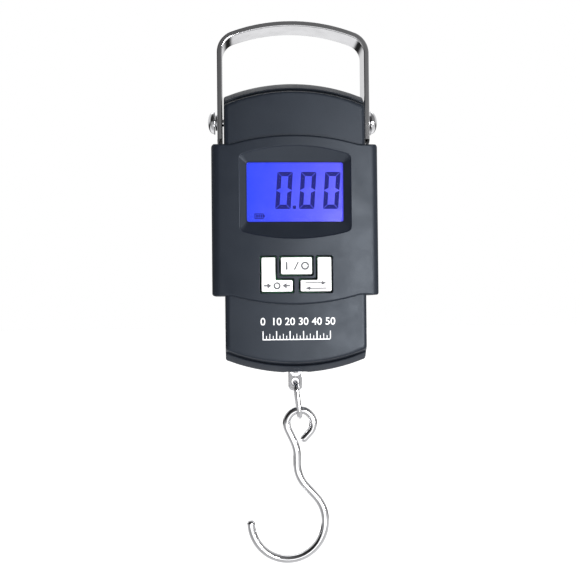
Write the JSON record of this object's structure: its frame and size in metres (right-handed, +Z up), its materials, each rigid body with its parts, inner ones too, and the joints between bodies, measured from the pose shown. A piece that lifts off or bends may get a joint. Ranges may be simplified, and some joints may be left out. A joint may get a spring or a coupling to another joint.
{
  "type": "digital fish scale",
  "caption": "Hanging digital scale: slate plastic casing with a lit display and push buttons, a chromed bail handle above and a wire hook on a link below.",
  "frame": {"origin": "middle of the grip: the underside of the bail handle's bridge, where the scale hangs from a finger or a peg", "axes": "+Z up along the hanging line, the display faces -Y, +X to the right of someone reading the display"},
  "size_m": [0.0654, 0.0263, 0.2076],
  "materials": {
    "chrome": "polished chromium plate",
    "steel": "plain zinc-plated steel",
    "aluminium": "machined aluminium",
    "brass": "stamped contact strip",
    "slate_plastic": "fine moulded texture, satin",
    "white_plastic": "smooth moulded",
    "black_plastic": "moulded",
    "diffuser_plastic": "milky light guide",
    "clear_plastic": "clear acrylic",
    "blue_glass": "liquid-crystal cell, lit blue",
    "rubber": "conductive silicone strip",
    "circuit_green": "solder-masked board",
    "polyimide": "amber film and epoxy",
    "cell_wrap": "printed shrink sleeve",
    "red_insulation": "wire insulation",
    "black_insulation": "wire insulation"
  },
  "bodies": {
    "handle": {"bail_handle": "chrome"},
    "housing": {"backlight_panel": "diffuser_plastic", "battery_bridge": "brass", "battery_contact_left": "brass", "battery_contact_right": "brass", "battery_lead_black": "black_insulation", "battery_lead_red": "red_insulation", "battery_left": "cell_wrap", "battery_right": "cell_wrap", "battery_spring_left": "steel", "battery_spring_right": "steel", "battery_tray": "black_plastic", "board_screw_lower_left": "steel", "board_screw_lower_right": "steel", "board_screw_upper_left": "steel", "board_screw_upper_right": "steel", "case_screw_lower_left": "steel", "case_screw_lower_right": "steel", "case_screw_upper_left": "steel", "case_screw_upper_right": "steel", "circuit_board": "circuit_green", "clevis_pin": "chrome", "clock_crystal": "steel", "contact_strip_lower": "rubber", "contact_strip_upper": "rubber", "controller_chip": "black_plastic", "display_frame": "black_plastic", "display_glass": "blue_glass", "display_window": "clear_plastic", "filter_capacitor": "polyimide", "front_cover": "slate_plastic", "gauge_lead": "black_insulation", "load_bracket": "steel", "load_cell": "aluminium", "load_cell_screw": "steel", "lower_clevis": "steel", "pivot_nut_left": "steel", "pivot_nut_right": "steel", "pivot_screw_left": "chrome", "pivot_screw_right": "chrome", "pivot_washer_left": "steel", "pivot_washer_right": "steel", "power_switch": "black_plastic", "rear_cover": "slate_plastic", "strain_gauge_left": "polyimide", "strain_gauge_right": "polyimide", "tare_switch": "black_plastic", "unit_switch": "black_plastic"},
    "power_key": {"power_button": "white_plastic", "power_plunger": "black_plastic"},
    "tare_key": {"tare_button": "white_plastic", "tare_plunger": "black_plastic"},
    "unit_key": {"unit_button": "white_plastic", "unit_plunger": "black_plastic"},
    "battery_lid": {"battery_door": "slate_plastic"},
    "fitting": {"hook_fitting": "chrome"},
    "link": {"hook_link": "chrome"},
    "hook": {"load_hook": "chrome"}
  },
  "joints": [
    {"name": "handle_swing", "type": "hinge", "parent": "handle", "child": "housing", "pos_m": [0, 0, -0.036], "axis": [1, 0, 0], "range_deg": [-100, 100]},
    {"name": "power_press", "type": "slide", "parent": "housing", "child": "power_key", "axis": [0, 1, 0], "range_m": [0, 0.0006], "stiffness_N_per_m": 500, "springref_m": -0.0006},
    {"name": "tare_press", "type": "slide", "parent": "housing", "child": "tare_key", "axis": [0, 1, 0], "range_m": [0, 0.0006], "stiffness_N_per_m": 500, "springref_m": -0.0006},
    {"name": "unit_press", "type": "slide", "parent": "housing", "child": "unit_key", "axis": [0, 1, 0], "range_m": [0, 0.0006], "stiffness_N_per_m": 500, "springref_m": -0.0006},
    {"name": "battery_door_open", "type": "hinge", "parent": "housing", "child": "battery_lid", "pos_m": [0, 0.0127, -0.1006], "axis": [-1, 0, 0], "range_deg": [0, 85]},
    {"name": "fitting_swing", "type": "hinge", "parent": "housing", "child": "fitting", "pos_m": [0, 0, -0.1315], "axis": [0, 1, 0], "range_deg": [-15, 15]},
    {"name": "link_swing", "type": "hinge", "parent": "fitting", "child": "link", "pos_m": [0, 0, -0.1363], "axis": [0, 1, 0], "range_deg": [-55, 55]},
    {"name": "hook_swing", "type": "hinge", "parent": "link", "child": "hook", "pos_m": [0.00163, 0, -0.147], "axis": [1, 0, 0], "range_deg": [-70, 70]}
  ]
}
